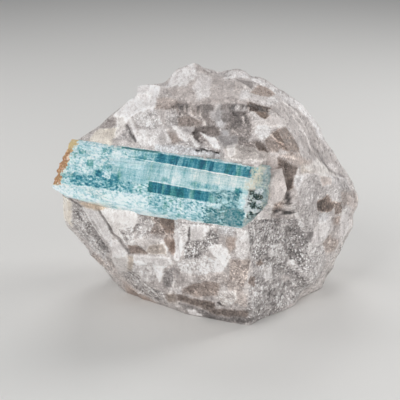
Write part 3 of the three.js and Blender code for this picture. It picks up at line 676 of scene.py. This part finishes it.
def add_mesh(name, points, faces, marks):
    """A mesh object from arrays: points in metres, arrays of faces, one value a point per mark."""
    mesh = bpy.data.meshes.new(name)
    corners = np.concatenate([f.ravel() for f in faces])
    sides = np.concatenate([np.full(len(f), f.shape[1]) for f in faces])
    mesh.vertices.add(len(points))
    mesh.vertices.foreach_set("co", points.astype(np.float32).ravel())
    mesh.loops.add(len(corners))
    mesh.loops.foreach_set("vertex_index", corners.astype(np.int32))
    mesh.polygons.add(len(sides))
    mesh.polygons.foreach_set("loop_start", (np.cumsum(sides) - sides).astype(np.int32))
    mesh.polygons.foreach_set("use_smooth", np.ones(len(sides), bool))
    mesh.update(calc_edges=True)
    for mark, values in marks.items():
        layer = mesh.attributes.new(mark, "FLOAT", "POINT")
        layer.data.foreach_set("value", values.astype(np.float32))
    mesh.validate()
    piece = bpy.data.objects.new(name, mesh)
    bpy.context.scene.collection.objects.link(piece)
    return piece


quartz = add_mesh("quartz_block", (skin + HEART) * MM, [quads], {
    "tone": tone, "warmth": warmth, "cream": cream, "grain": grain, "edges": edges})


class Value:
    """A shader socket that can be added, subtracted and multiplied; each adds a Math node."""

    def __init__(self, tree, socket):
        self.tree, self.socket = tree, socket

    def math(self, operation, other):
        """A Math node of this value and another value or number."""
        node = self.tree.nodes.new("ShaderNodeMath")
        node.operation = operation
        feed(self.tree, node.inputs[0], self)
        feed(self.tree, node.inputs[1], other)
        return Value(self.tree, node.outputs[0])

    def __add__(self, other):
        return self.math("ADD", other)

    def __sub__(self, other):
        return self.math("SUBTRACT", other)

    def __rsub__(self, other):
        return (self * -1).math("ADD", other)

    def __mul__(self, other):
        return self.math("MULTIPLY", other)

    __radd__ = __add__
    __rmul__ = __mul__


def feed(tree, slot, given):
    """Links a value to a socket, or sets the socket to a number, a vector or an opaque colour."""
    if isinstance(given, Value):
        tree.links.new(given.socket, slot)
    else:
        slot.default_value = (*given, 1) if slot.type == "RGBA" else given


class Finish:
    """A material under construction, ending in one Principled shader."""

    def __init__(self, name, **settings):
        self.material = bpy.data.materials.new(name)
        self.material.use_nodes = True
        self.tree = self.material.node_tree
        self.shader = self.tree.nodes["Principled BSDF"]
        self.set(**settings)

    def set(self, **inputs):
        """Feeds the shader's sockets, named with underscores for spaces."""
        for name, given in inputs.items():
            feed(self.tree, self.shader.inputs[name.replace("_", " ")], given)

    def node(self, kind, settings=None, out=0, **inputs):
        """Any node: its type, its settings, then its sockets by name or, as i0, by number."""
        node = self.tree.nodes.new("ShaderNode" + kind)
        for name, value in (settings or {}).items():
            setattr(node, name, value)
        for name, given in inputs.items():
            numbered = name[0] == "i" and name[1:].isdigit()
            slot = node.inputs[int(name[1:]) if numbered else name.replace("_", " ")]
            feed(self.tree, slot, given)
        return Value(self.tree, node.outputs[out])

    def ramp(self, value, stops):
        """A colour picked by a value from stops, each a place from 0 to 1 and a colour."""
        picked = self.node("ValToRGB", Fac=value)
        ramp = picked.socket.node.color_ramp.elements
        for place, _ in stops[1:-1]:
            ramp.new(place)
        for element, (place, colour) in zip(ramp, stops):
            element.position = place
            element.color = (*colour, 1)
        return picked

    def mark(self, name):
        """A mark stored on the mesh's points."""
        return self.node("Attribute", {"attribute_name": name}, out="Fac")

    def millimetres(self):
        """The point's place on the object, in millimetres."""
        place = self.node("TexCoord", out="Object")
        return self.node("VectorMath", {"operation": "SCALE"}, i0=place, Scale=1 / MM)

    def noise(self, place, size, detail=3.0, rough=0.6, out=0):
        """Noise from 0 to 1: waves of the given size and, for each step of detail, half the size."""
        return self.node("TexNoise", out=out, Vector=place, Scale=1 / size, Detail=detail,
                         Roughness=rough)

    def cells(self, place, size):
        """A random colour for each cell of a Voronoi pattern: all that is nearest to one point."""
        return self.node("TexVoronoi", out="Color", Vector=place, Scale=1 / size)

    def cracks(self, place, size, width):
        """1 on the edges between Voronoi cells, fading to 0 over a width, as a share of a cell."""
        off = self.node("TexVoronoi", {"feature": "DISTANCE_TO_EDGE"}, out="Distance",
                        Vector=place, Scale=1 / size)
        return self.eased(off, width, 0.0)

    def shifted(self, place, by, amount):
        """A vector moved by a colour, centred on grey, times an amount."""
        start = self.node("VectorMath", {"operation": "ADD"}, i0=place, i1=(-amount / 2,) * 3)
        return self.node("VectorMath", {"operation": "MULTIPLY_ADD"}, i0=by, i1=(amount,) * 3,
                         i2=start)

    def part(self, colour, which):
        """One channel of a colour: 0, 1 or 2."""
        return self.node("SeparateColor", out=which, i0=colour)

    def eased(self, value, low, high):
        """0 below low and 1 above high, along the cubic that is level at both."""
        return self.node("MapRange", {"interpolation_type": "SMOOTHSTEP"}, Value=value,
                         From_Min=low, From_Max=high)

    def blend(self, share, a, b):
        """Colour a turning into colour b as share goes from 0 to 1."""
        return self.node("Mix", {"data_type": "RGBA"}, out=2, i0=share, i6=a, i7=b)

    def tint(self, share, colour, glass):
        """A colour seen through coloured glass: multiplied by its colour, as far as share says."""
        settings = {"data_type": "RGBA", "blend_type": "MULTIPLY"}
        return self.node("Mix", settings, out=2, i0=share, i6=colour, i7=glass)


stone = Finish("milky_quartz", IOR=1.54, Subsurface_Weight=0.3, Subsurface_Scale=0.0012,
               Subsurface_Radius=(1.0, 0.95, 0.9))
place = stone.millimetres()
LEANING, CROSSING = (0.6, 0.9, 0.2), (-0.5, 2.2, 1.1)  # turns of the two sets of slivers
warp = stone.noise(place, 4, out=1)
leant = stone.node("Mapping", i0=place, Rotation=LEANING, Scale=(1.0, 1.0, 0.35))
crossed = stone.node("Mapping", i0=place, Rotation=CROSSING, Scale=(1.0, 0.3, 1.0))
shard = stone.cells(stone.shifted(leant, warp, 1.2), 1.5)
sliver = stone.cells(stone.shifted(crossed, warp, 0.8), 0.7)
grit = stone.cells(stone.shifted(place, stone.noise(place, 0.6, out=1), 0.5), 0.42)
shard_tone = stone.part(shard, 0)
sliver_tone = stone.part(sliver, 1)
grit_tone = stone.part(grit, 1)
cloud = stone.noise(place, 3.5)
crumb = stone.noise(place, 0.8, 4.0, 0.85)
dust = stone.noise(place, 0.35, 2.0, 0.8)
# Hair is fine brushed noise that runs one way in some patches and the other way in the rest.
patch = stone.part(stone.cells(stone.shifted(place, warp, 2.0), 5.0), 0)
combed = stone.node("Mapping", i0=place, Rotation=LEANING, Scale=(1.0, 1.0, 0.12))
brushed = stone.node("Mapping", i0=place, Rotation=CROSSING, Scale=(1.0, 0.12, 1.0))
hair = stone.blend(stone.eased(patch, 0.45, 0.55), stone.noise(combed, 0.45, 3.0, 0.75),
                   stone.noise(brushed, 0.45, 3.0, 0.75))
crackle = stone.cracks(stone.shifted(leant, warp, 1.8), 3.4, 0.04) * stone.eased(cloud, 0.48, 0.6)
splinter = stone.cracks(stone.shifted(crossed, warp, 1.4), 1.8, 0.05)
splinter = splinter * stone.eased(shard_tone, 0.5, 0.8)
grain = stone.mark("grain")
# Painted glints on the brightest grit cells, and painted shade in pits on the darkest.
glint = stone.eased(grit_tone, 0.86, 0.93)
pit_shade = stone.eased(grit_tone, 0.13, 0.07)
# The mark's tone, with more contrast, and the fine patterns over it. Most grow with the grain.
tone = stone.mark("tone") * 1.15 - 0.132 + (cloud - 0.5) * 0.12 + (shard_tone - 0.5) * 0.05
tone = tone + (sliver_tone - 0.5) * (0.02 + grain * 0.12) + (hair - 0.5) * 0.42
tone = tone + (crumb - 0.5) * (0.10 + grain * 0.20) + (dust - 0.5) * (0.34 + grain * 0.50)
tone = tone + (grit_tone - 0.5) * (grain * 0.26)
# Painted glints and painted shade in pits, most where it is grainy.
tone = tone + glint * (0.03 + grain * 0.32) - pit_shade * (grain * 0.05)
# A painted highlight along the ridges of the flakes.
tone = tone + stone.mark("edges") * stone.eased(sliver_tone, 0.3, 0.55) * (0.04 + grain * 0.08)
tone = tone + crackle * 0.08 + splinter * 0.05
colour = stone.ramp(tone, [
    (0.10, (0.012, 0.011, 0.010)),
    (0.30, (0.079, 0.070, 0.068)),
    (0.45, (0.186, 0.168, 0.163)),
    (0.60, (0.345, 0.315, 0.306)),
    (0.75, (0.560, 0.520, 0.508)),
    (0.90, (0.820, 0.785, 0.772)),
    (1.0, (0.94, 0.93, 0.925)),
])
warmth = stone.mark("warmth")
for share, glass in [
    (stone.eased(warmth, 0.0, 1.0), (1.13, 0.955, 0.83)),  # brown
    (stone.eased(warmth, 0.0, -1.0), (0.93, 1.0, 1.06)),  # bluish
    (stone.mark("cream"), (1.04, 0.98, 0.84)),
]:
    colour = stone.tint(share, colour, glass)

# Each cell's colour tilts its face: shards a little, and slivers and grit more where it is grainy.
facing = stone.node("NewGeometry", out="Normal")
calm = stone.shifted(facing, shard, 0.10)
rough = stone.shifted(stone.shifted(calm, sliver, 0.25), grit, 0.4)
tilted = stone.node("Mix", {"data_type": "VECTOR"}, out=1, i0=stone.eased(grain, 0.1, 0.7),
                    i4=calm, i5=rough)
tilted = stone.node("VectorMath", {"operation": "NORMALIZE"}, i0=tilted)
relief = stone.node("Bump", Strength=0.35, Distance=0.0004, Height=crumb + hair, Normal=tilted)
stone.set(Base_Color=colour, Normal=relief, Roughness=0.2 + sliver_tone * 0.4)
quartz.data.materials.append(stone.material)
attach(quartz, "root")
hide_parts("quartz_matrix")

# ==== Tourmaline crystal =========================================================================
# One prism of blue-green tourmaline, 20 mm wide, more than half sunk in the quartz it grew in. About
# 65 mm of its length shows. Its face is in flat strips with fine lengthwise striae; the left end is
# broken and rusty, and the right end slopes into the quartz.

CRYSTAL_MIDDLE = HEART + np.array([-13.8, -23.4, 10.8])
CRYSTAL_TURN = np.radians([66, 1.95, -17.9])  # about its length, then dip, then swing
# Corners of the section, across the face and out of it, from the top round to the sunk side.
FACE_CORNERS = [
    (10.2, -2.0), (9.3, -0.5), (8.5, 0), (5.1, 0.75), (5.0, 1.05), (-1.0, 1.3), (-1.2, 0.95),
    (-4.5, 0.6), (-4.7, 0.8), (-9.0, -0.4), (-10.2, -1.9),
]
SUNK_CORNERS = [(-9.3, -7.5), (-4, -11.5), (4, -11.5), (9.3, -7.5)]
SECTION_MIDDLE = np.array([0, -4.5])
# Breaks that end it: slope along, across and out, and distance from the crystal's middle.
LEFT_BREAKS = [((-1, 0.24, 0.35), 31.0), ((-0.41, -0.91, 0.15), 19.4), ((-0.1, -1, 0.2), 10.64)]
RIGHT_BREAKS = [((1, 0.11, 0.8), 26.9), ((0.79, -0.61, -0.1), 27.6), ((1, 0, -0.6), 29.0)]
# The sloping end starts along this line: across the face, and along the crystal.
END_LINE = np.array([(-9, 27.5), (-4, 28), (0, 28.2), (5, 29.5), (9, 29.8)])

FACE_STEPS = 150  # steps of the mesh: round the face, round the sunk side, along, and into a cap
SUNK_STEPS = 34
LENGTH_STEPS = 440
CAP_STEPS = 16


def section_line(corners, steps):
    """Points spaced evenly along a line of corners, with its last corner left out."""
    corners = np.array(corners, float)
    run = np.concatenate([[0], np.cumsum(np.hypot(*np.diff(corners, axis=0).T))])
    at = np.linspace(0, run[-1], steps, endpoint=False)
    return np.stack([np.interp(at, run, corners[:, k]) for k in range(2)], 1)


def break_places(breaks, across, out):
    """How far along the crystal each break lies, for every place in the section.

    The break's distance, less what its slopes across and out take up, is divided by its slope along.
    """
    places = []
    for slope, distance in breaks:
        slope = unit(np.array(slope))
        places.append((distance - slope[1] * across - slope[2] * out) / slope[0])
    return places


# The section is carried from the left end to the right end. At each end it shrinks to its middle,
# where a fan of triangles round one last point closes the cap.
section = np.concatenate([
    section_line(FACE_CORNERS, FACE_STEPS),
    section_line([FACE_CORNERS[-1]] + SUNK_CORNERS + [FACE_CORNERS[0]], SUNK_STEPS)])
round_steps = len(section)
cap = np.linspace(0, 1, CAP_STEPS, endpoint=False)[1:]
shrink = np.concatenate([cap, np.ones(LENGTH_STEPS), cap[::-1]])
along = np.concatenate([0 * cap, np.linspace(0, 1, LENGTH_STEPS), 1 + 0 * cap])
grid = SECTION_MIDDLE + (section - SECTION_MIDDLE) * shrink[:, None, None]
across, out = np.concatenate([grid.reshape(-1, 2), [SECTION_MIDDLE] * 2]).T
along = np.append(np.repeat(along, round_steps), [0, 1])
END_TO_END = 50  # how far apart the two broken ends lie in their noise
spot = np.stack([across, out, along * END_TO_END], 1)
start = np.maximum.reduce(break_places(LEFT_BREAKS, across, out)) + 1.2 * mottle(spot, 2.6, 4, 41)
end = np.minimum.reduce(break_places(RIGHT_BREAKS, across, out)) + 0.7 * mottle(spot, 2.5, 4, 42)
length = start + (end - start) * along

# Relief of the face, in millimetres: striae along it, roughness, low rungs across it, and the slope
# of the right end.
face = smooth(-3.5, -1.5, out) * smooth(0.97, 1.0, np.append(np.repeat(shrink, round_steps), [0, 0]))
spot = np.stack([length, across, out * 0], 1)
left_third = smooth(-4, -16, length)
stria = waves(spot * [0.03, 2.2, 1], 1, 43) * 0.07 + waves(spot * [0.05, 5.0, 1], 1, 44) * 0.04
rough = mottle(spot * [0.6, 1, 1], 2.2, 4, 45) * (0.06 + 0.28 * left_third)
rungs = waves(spot * [1.1, 0.05, 1], 1, 46) * 0.05
past_end = length - np.interp(across, END_LINE[:, 0], END_LINE[:, 1]) + 0.9 * mottle(spot, 1.6, 4, 48)
slope = np.maximum(past_end, 0) * 0.3 + 0.4 * smooth(-0.3, 0.3, past_end) * mottle(spot, 1.6, 3, 47)
out = out + face * (stria * (1 - 0.6 * left_third) + rough + rungs - slope)
turn = np.array(Euler(CRYSTAL_TURN).to_matrix())
crystal_points = CRYSTAL_MIDDLE + np.stack([length, across, out], 1) @ turn.T

rows = len(shrink)
number = np.arange(rows * round_steps).reshape(rows, round_steps)
after = np.roll(number, -1, axis=1)
body = np.stack([number[:-1], after[:-1], after[1:], number[1:]], -1).reshape(-1, 4)
first, last = rows * round_steps, rows * round_steps + 1
left_fan = np.stack([np.full(round_steps, first), after[0], number[0]], -1)
right_fan = np.stack([np.full(round_steps, last), number[-1], after[-1]], -1)

# Wavy and ragged places along and across the crystal, on which its patches are laid out, and the
# patterns that fill them: bars across it, a mosaic of tiles and flecks, clouds and slanting waves.
wavy = across + 0.16 * waves(spot * [0.5, 1, 1], 1.5, 51)
jagged = length + 0.6 * waves(spot * [1, 0.9, 1], 1.3, 52) + 0.3 * waves(spot, 0.5, 54)
ragged = across + 0.4 * waves(spot * [0.7, 1, 1], 1.2, 55) + 0.2 * waves(spot, 0.5, 60)
_, bar_share, _ = flakes(spot * [1, 0.05, 1] + 3, 1.7, 61)
_, bar_fine, _ = flakes(spot * [1, 0.12, 1] + 5, 0.7, 62)
bars = 1.2 * (bar_share - 0.5) + 0.6 * (bar_fine - 0.5) + 0.4 * waves(spot * [1, 0.3, 1], 1.5, 53)
_, tile_share, _ = flakes(spot * [0.65, 1, 1] + 7, 1.3, 63, 0.2)
_, fleck_share, _ = flakes(spot * [0.7, 1, 1] + 9, 0.4, 64, 0.3)
cloudy = mottle(spot * [0.6, 1, 1], 4, 3, 58)
speckle = mottle(spot * [1, 1.3, 1], 1.1, 3, 56)
slants = waves(spot @ np.array([[0.8, 0.3, 0], [0.6, -1.2, 0], [0, 0, 1]]), 0.9, 65)
tiles = 0.22 * (tile_share - 0.5) + 0.80 * (fleck_share - 0.5) + 0.20 * speckle
broken = length + 4.5 * tiles


def stretch(value, start, full, fading, gone):
    """Eases from 0 at start to 1 at full, and from 1 at fading back to 0 at gone."""
    return smooth(start, full, value) * smooth(gone, fading, value)


def strip(low, high, soft=0.12):
    """1 between two lines across the crystal and 0 outside, eased over twice a softness."""
    return stretch(wavy, low - soft, low + soft, high - soft, high + soft)


def patch_at(start, end, low, high, soft=0.3):
    """1 inside a ragged patch, from start to end along the crystal and from low to high across it."""
    return stretch(jagged, start - soft, start + soft, end - soft, end + soft) \
        * stretch(ragged, low - soft, low + soft, high - soft, high + soft)


# Lines that run along the face and lean a little: the edges of its two dark stripes.
beyond = length + 2
low_line = -3.05 - 0.03 * beyond
middle_line = 0.3 - 0.045 * beyond
high_line = 6.45 - 0.037 * beyond
top_line = 9.25 - 0.013 * beyond
high_stripe = strip(high_line, top_line) * stretch(jagged, -4.5, -1.5, 29.4, 29.8)
low_stripe = strip(low_line, middle_line) * smooth(-3.7, -3.3, jagged) * smooth(20.5, 14.5, broken)
middle_face = strip(middle_line, high_line) * smooth(-7, -4, length)
left_smooth = strip(-1, 3.4) * stretch(jagged, -16.5, -15, -5, -3)
left_white = strip(3.4, 6.2) * stretch(jagged, -17, -14, -5, -3)
green_line = strip(9.25, 9.85) * stretch(jagged, -15.5, -14.5, -3, -0.5)
left_mix = strip(6.2, 9.3) * stretch(jagged, -12, -7, -4, -1)
denim = stretch(ragged, -4.3, -3.7, -1, -0.2) * stretch(jagged, -31, -28, -10, -6)
low_band = strip(-9.4, -3.3) * stretch(length, -7, -1, 13, 19)
low_right = strip(-9.7, -4.0, 0.4) * smooth(13.5, 17.5, broken) * smooth(28.5, 27.5, length)
middle_right = strip(-4.2, 0.8, 0.5) * smooth(15.5, 19.5, broken) * smooth(28.0, 26.5, length)
fringe = strip(top_line - 0.05, 10.7)

# Depth of the blue: 0 is frosted white and 1 the darkest. It starts as that of the frosted left
# part; the others are laid over it in turn.
depth = 0.24 + 0.62 * tiles + 0.20 * cloudy - 0.14 * smooth(-3.8, -4.6, wavy)
for share, level in [
    (left_smooth, 0.38 + 0.14 * bars + 0.14 * waves(spot * [0.15, 1, 1], 0.8, 59)),
    (left_white, 0.24 + 0.10 * bars + 0.15 * speckle),
    (middle_face, 0.34 + 0.18 * bars + 0.14 * cloudy - 0.08 * smooth(8, 14, length)),
    (high_stripe, 0.76 + 0.44 * bars + 0.12 * tiles),
    (low_stripe, 0.80 + 0.34 * bars + 0.10 * tiles),
    (left_mix, 0.48 + 0.50 * tiles),
    (denim, 0.54 + 0.70 * tiles + 0.30 * slants + 0.10 * cloudy),
    (low_band, 0.32 + 0.65 * tiles + 0.20 * slants + 0.15 * cloudy),
    (low_right, 0.64 + 0.70 * tiles + 0.25 * slants),
    (middle_right, 0.55 + 0.65 * tiles + 0.25 * slants),
    (fringe, 0.20 + 0.60 * tiles),
    (green_line, 0.80 + 0.2 * speckle),
]:
    depth = depth + (level - depth) * share
# Single patches: where they start and end along and across the crystal, and their depth.
PATCHES = [
    (-24.6, -22.1, 2.0, 4.3, 0.62), (-19.0, -15.9, 2.0, 3.5, 0.60), (-21.2, -18.4, -0.6, 1.5, 0.92),
    (-16.2, -13.0, -2.1, 0.7, 0.72), (-11.4, -8.6, 6.3, 7.0, 0.70), (-8.6, -6.2, 6.3, 7.4, 0.74),
    (-11.2, -7.0, 7.2, 8.6, 0.36), (-20.3, -17.4, 7.4, 8.8, 0.55), (-17.0, -14.0, 5.3, 8.2, 0.06),
    (0.8, 3.0, 0.6, 2.0, 0.60), (9.5, 19.0, 0.3, 2.0, 0.52), (24.0, 25.8, -1.5, 1.8, 0.85),
    (25.6, 28.4, -3.9, 0.4, 0.12), (16.0, 20.0, -5.0, -3.6, 0.12), (26.0, 27.4, -7.0, -5.0, 0.98),
    (2.0, 3.2, 6.4, 9.0, 1.0), (11.0, 12.0, 6.0, 9.0, 0.97), (-2.0, 0.6, 6.6, 8.8, 0.86),
    (5.6, 7.8, -3.4, -0.6, 1.0), (-3.2, -1.6, -2.9, -0.2, 0.86),
    (22.0, 26.8, -9.4, -4.2, 0.72), (16.2, 19.0, -9.4, -7.0, 0.70), (-27.5, -25, -2.6, -1.2, 0.80),
]
for *place, level in PATCHES:
    share = patch_at(*place, 0.45) * (0.85 + 0.5 * speckle)
    depth = depth + (level + 0.25 * tiles - depth) * np.clip(share, 0, 1)
# Pale hairlines run along both edges of the middle of the face.
hairline = np.maximum(
    strip(high_line - 0.25, high_line + 0.05, 0.06) * smooth(-14, -12, jagged),
    strip(middle_line - 0.1, middle_line + 0.15, 0.06) * stretch(jagged, -4, -3, 11, 14))
depth = depth - hairline * (0.35 + 0.3 * speckle) * smooth(29, 28, length)

greenish = smooth(-0.05, 0.35, waves(spot * [1, 0.2, 1], 2.0, 57)) * smooth(0.4, 0.6, depth)
greenish = greenish * (1 - 0.8 * denim) * (1 - 0.7 * low_right) * (1 - 0.6 * middle_right)
milky = middle_face * (0.35 + 0.65 * smooth(8, 12, length) * smooth(1.6, 2.4, across)) \
    + 0.6 * smooth(0.05, 0.5, cloudy) * smooth(-8, -14, length)
off_stain = ((length + 20.5) / 3.4) ** 2 + ((across + 9.4) / 0.7) ** 2
end_rust = smooth(2.5, 1.3, length - start + 1.5 * speckle + 0.9 * cloudy)
end_rust = end_rust * smooth(-5.5, -4.5, across)
pale_tip = patch_at(27.6, 31.5, 3.6, 9.6, 0.6) + patch_at(26.6, 29.4, 1.5, 4.0, 0.6)
dark_tip = patch_at(28.2, 33.0, -6.5, 2.0, 0.5) \
    * smooth(0.42, 0.56, 0.6 * tile_share + 0.4 * fleck_share + 0.3 * slants)
white_tip = patch_at(27.4, 28.8, -5, 0.5) + patch_at(28.2, 32.0, -6.5, 3.0) \
    * smooth(0.36, 0.26, 0.7 * tile_share + 0.3 * fleck_share)

crystal = add_mesh("tourmaline_prism", crystal_points * MM, [body, left_fan, right_fan], {
    "depth": depth,
    "greenish": np.maximum(greenish, green_line),
    "milky": milky,
    "greyed": np.maximum(low_right, 0.7 * middle_right),
    "rust": end_rust,
    "stain": np.exp(-off_stain) * (1 + 0.5 * cloudy),
    "tip": smooth(-0.25, 0.25, past_end),
    "pale_tip": pale_tip,
    "dark_tip": dark_tip,
    "white_tip": white_tip,
    "cream_rim": 0.7 * smooth(0.6, 0.2, np.abs(past_end - 0.1)) * smooth(0.3, 2.0, across),
    "along": length,
    "across": across,
})

gem = Finish("blue_tourmaline", IOR=1.63, Specular_IOR_Level=0.2, Subsurface_Weight=0.1,
             Subsurface_Scale=0.001, Coat_Weight=0.02, Coat_Roughness=0.15)
place = gem.millimetres()
crumb = gem.noise(place, 0.65, 4.0, 0.8)
dust = gem.noise(place, 0.35, 2.0, 0.8)
cloud = gem.noise(place, 1.6, 4.0, 0.7)
along = gem.mark("along")
across = gem.mark("across")
# Noise drawn out along the crystal makes striae, and noise drawn out across it makes rungs.
stria = gem.noise(gem.node("CombineXYZ", X=along * 0.08, Y=across), 0.5, 3.0, 0.75)
rung = gem.noise(gem.node("CombineXYZ", X=along, Y=across * 0.10), 0.6, 3.0, 0.75)
depth = gem.mark("depth") + (crumb - 0.5) * 0.50 + (dust - 0.5) * 0.55
depth = depth + (stria - 0.5) * 0.45 + (rung - 0.5) * 0.50
colour = gem.ramp(depth, [
    (0.0, (0.78, 0.87, 0.88)),
    (0.25, (0.47, 0.67, 0.71)),
    (0.45, (0.25, 0.49, 0.54)),
    (0.62, (0.085, 0.31, 0.375)),
    (0.80, (0.018, 0.20, 0.275)),
    (1.0, (0.004, 0.095, 0.16)),
])
for share, glass in [
    (gem.mark("greenish"), (1.15, 1.05, 0.84)),
    (gem.mark("milky"), (1.16, 1.02, 0.97)),
    (gem.mark("greyed") * gem.eased(depth, 0.35, 0.7), (2.3, 1.06, 0.92)),
]:
    colour = gem.tint(share, colour, glass)
tip_colour = gem.ramp(crumb * 0.6 + cloud * 0.4, [
    (0.32, (0.06, 0.10, 0.10)),
    (0.42, (0.22, 0.31, 0.32)),
    (0.52, (0.34, 0.42, 0.42)),
    (0.62, (0.70, 0.69, 0.60)),
])
rusty = gem.ramp(cloud * 0.3 + crumb * 0.3 + gem.noise(place, 4.0) * 0.4, [
    (0.38, (0.74, 0.66, 0.48)),
    (0.44, (0.62, 0.41, 0.23)),
    (0.50, (0.30, 0.15, 0.07)),
    (0.55, (0.62, 0.39, 0.26)),
    (0.60, (0.82, 0.68, 0.56)),
])
rust = gem.mark("rust")
# What covers the blue, each coat over those before it: how far, and its colour.
for share, coat in [
    (gem.mark("tip"), tip_colour),
    (gem.mark("pale_tip") * gem.eased(crumb, 0.35, 0.6), (0.62, 0.62, 0.51)),
    (gem.mark("cream_rim") * gem.eased(crumb, 0.3, 0.5), (0.68, 0.65, 0.54)),
    (gem.mark("white_tip") * gem.eased(crumb, 0.3, 0.5), (0.62, 0.66, 0.67)),
    (gem.mark("dark_tip") * gem.eased(crumb, 0.75, 0.55), (0.012, 0.035, 0.03)),
    (gem.eased(rust, 0.02, 0.5) * 0.6, (0.76, 0.74, 0.58)),
    (gem.eased(rust + (crumb - 0.5) * 0.8, 0.4, 0.8), rusty),
    (gem.eased(across, 5.5, 8.0) * rust * 0.7, (0.66, 0.56, 0.30)),
    (gem.mark("stain"), (0.68, 0.54, 0.36)),
]:
    colour = gem.blend(share, colour, coat)
relief = gem.node("Bump", Strength=0.4, Distance=0.0004, Height=crumb + stria)
gem.set(Base_Color=colour, Normal=relief, Roughness=0.45 - gem.mark("depth") * 0.15 + rust * 0.3)
crystal.data.materials.append(gem.material)
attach(crystal, "root")
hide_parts("tourmaline_crystal")

# ==== Stage ======================================================================================
# A plain pale floor, soft square lights all round, and the camera in front and a little above.
# None of it is part of the specimen.

FLOOR_HALF = 3  # metres from the middle to a side
floor_corners = np.array([(-1, -1, 0), (1, -1, 0), (1, 1, 0), (-1, 1, 0)]) * FLOOR_HALF
floor = add_mesh("floor", floor_corners, [np.array([[0, 1, 2, 3]])], {})
floor_finish = Finish("pale_floor", Roughness=0.6, Base_Color=(0.72, 0.71, 0.69))
floor.data.materials.append(floor_finish.material)

world = bpy.data.worlds.new("studio")
world.use_nodes = True
background = world.node_tree.nodes["Background"].inputs
background["Color"].default_value = (0.80, 0.82, 0.85, 1)
background["Strength"].default_value = 0.22
bpy.context.scene.world = world
bpy.context.scene.view_settings.view_transform = "Standard"

LOOK_AT = (HEART + np.array([-1.65, 0, -3])) * MM  # a little left of the heart and below it


def aim(name, data, azimuth, elevation, distance):
    """A lamp or camera, placed at a distance from the specimen and turned to look at it.

    An object looks down until it is tipped up by a right angle less its elevation.
    """
    thing = bpy.data.objects.new(name, data)
    bpy.context.scene.collection.objects.link(thing)
    thing.location = LOOK_AT + direction(azimuth, elevation) * distance
    thing.rotation_euler = (math.radians(90 - elevation), 0, math.radians(azimuth))
    return thing


# Azimuth, elevation, distance in metres, width in metres, and watts.
LIGHTS = {
    "key": (-35, 42, 0.6, 0.25, 1.15),
    "front": (5, 6, 0.8, 0.3, 2.5),
    "right": (60, 22, 0.6, 0.2, 0.6),
    "left_rim": (-105, 15, 0.5, 0.2, 0.8),
    "right_rim": (115, 30, 0.5, 0.2, 0.9),
    "back": (180, 50, 0.6, 0.3, 0.9),
}
for name, (azimuth, elevation, distance, width, watts) in LIGHTS.items():
    lamp = bpy.data.lights.new(name, "AREA")
    lamp.size = width
    lamp.energy = watts
    aim(name, lamp, azimuth, elevation, distance)

CAMERA_ELEVATION = 20
CAMERA_DISTANCE = 0.3667
camera_data = bpy.data.cameras.new("camera")
camera_data.sensor_width = 36  # millimetres, as the lens
camera_data.lens = 100
bpy.context.scene.camera = aim("camera", camera_data, 0, CAMERA_ELEVATION, CAMERA_DISTANCE)
